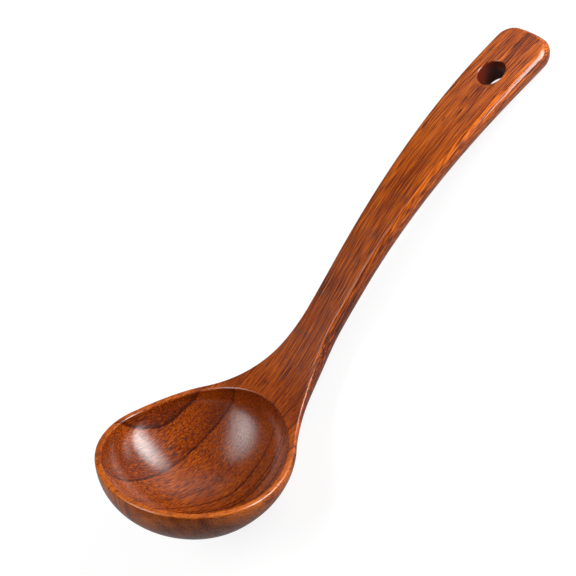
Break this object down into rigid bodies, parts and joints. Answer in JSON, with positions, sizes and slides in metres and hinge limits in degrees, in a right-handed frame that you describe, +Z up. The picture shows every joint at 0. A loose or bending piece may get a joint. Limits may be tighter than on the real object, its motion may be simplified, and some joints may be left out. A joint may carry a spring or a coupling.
{
  "type": "ladle",
  "caption": "Small soup ladle carved whole from lacquered hardwood, with a round bowl, a flared neck and a long bent handle that has a hanging hole.",
  "frame": {"origin": "middle of the box, on the level that the ladle lies on", "axes": "+X from the bowl to the end of the handle, +Y across to the left, +Z up, with the ladle lying on its bowl and the end of its handle"},
  "size_m": [0.2074, 0.0704, 0.044],
  "materials": {
    "lacquered_wood": "clear gloss lacquer over reddish-brown hardwood"
  },
  "bodies": {
    "root": {"ladle": "lacquered_wood"}
  },
  "joints": []
}
